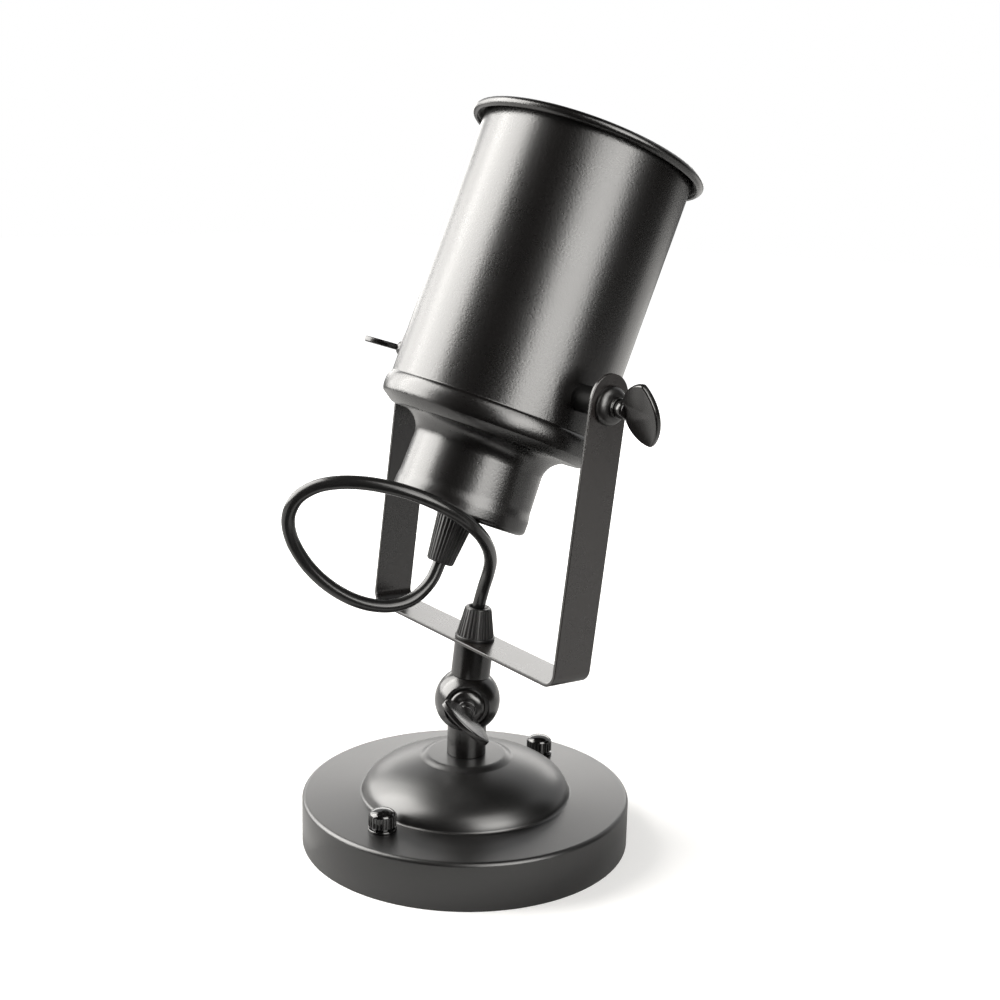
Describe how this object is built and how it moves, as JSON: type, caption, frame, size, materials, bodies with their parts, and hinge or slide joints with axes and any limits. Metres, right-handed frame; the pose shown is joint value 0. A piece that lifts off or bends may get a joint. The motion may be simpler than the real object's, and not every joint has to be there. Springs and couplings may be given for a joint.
{
  "type": "adjustable wall lamp",
  "caption": "Adjustable wall spot lamp: cylindrical spun shade with a rolled rim, pivoted in a U-shaped yoke on a split-ball swivel and a round domed wall canopy.",
  "frame": {"origin": "centre of the canopy's wall face, midway between the two wall screw slots", "axes": "+Z out of the wall along the post, +Y along the line of the two cap nuts and the wall screw slots, +X by the right-hand rule"},
  "size_m": [0.1453, 0.1462, 0.2652],
  "materials": {
    "satin_black": "satin black powder coat, fine grain on the shade",
    "gloss_black": "gloss black lacquer",
    "zinc_steel": "zinc plated",
    "brass": "plain",
    "white_plastic": "moulded white",
    "black_plastic": "moulded black",
    "cord_sheath": "smooth black sheath"
  },
  "bodies": {
    "base": {"canopy": "satin_black", "mounting_bracket": "zinc_steel", "bracket_studs": "zinc_steel", "cap_nuts": "gloss_black", "terminal_block": "white_plastic", "terminal_screws": "brass", "block_screw": "zinc_steel", "earth_screw": "brass", "earth_washer": "zinc_steel", "base_nipple": "zinc_steel", "base_washer": "zinc_steel", "base_nut": "zinc_steel", "post": "satin_black", "swivel_washer": "gloss_black"},
    "head": {"swivel_head": "satin_black", "yoke_nipple": "zinc_steel"},
    "swivel_screw": {"swivel_thumb_screw": "gloss_black"},
    "yoke": {"yoke": "satin_black", "pivot_washers": "gloss_black", "lower_cord_grip": "black_plastic", "cord_loop": "cord_sheath"},
    "shade": {"shade": "satin_black", "pivot_bosses": "satin_black", "lampholder": "black_plastic", "screw_shell": "brass", "centre_contact": "brass", "holder_nipple": "zinc_steel", "upper_cord_grip": "black_plastic"},
    "left_screw": {"left_thumb_screw": "gloss_black"},
    "right_screw": {"right_thumb_screw": "gloss_black"}
  },
  "joints": [
    {"name": "swivel_tilt", "type": "hinge", "parent": "base", "child": "head", "pos_m": [0, 0, 0.05275], "axis": [0.6157, -0.788, 0], "range_deg": [-54.5, 65.5]},
    {"name": "yoke_turn", "type": "hinge", "parent": "head", "child": "yoke", "pos_m": [0.0017, 0.00133, 0.07515], "axis": [0.0755, 0.059, 0.9954], "range_deg": [-170, 170]},
    {"name": "shade_tilt", "type": "hinge", "parent": "yoke", "child": "shade", "pos_m": [0.00899, 0.00702, 0.1712], "axis": [0.9792, -0.1927, -0.0629], "range_deg": [-72.5, 107.5], "deforming": ["cord_loop"]},
    {"name": "swivel_screw_turn", "type": "hinge", "parent": "head", "child": "swivel_screw", "pos_m": [0.00456, -0.00583, 0.05275], "axis": [0.6157, -0.788, 0], "range_deg": [-180, 180]},
    {"name": "left_screw_turn", "type": "hinge", "parent": "shade", "child": "left_screw", "pos_m": [-0.04095, 0.01685, 0.17441], "axis": [0.9792, -0.1927, -0.0629], "range_deg": [-180, 180]},
    {"name": "right_screw_turn", "type": "hinge", "parent": "shade", "child": "right_screw", "pos_m": [0.05893, -0.0028, 0.168], "axis": [0.9792, -0.1927, -0.0629], "range_deg": [-180, 180]}
  ]
}
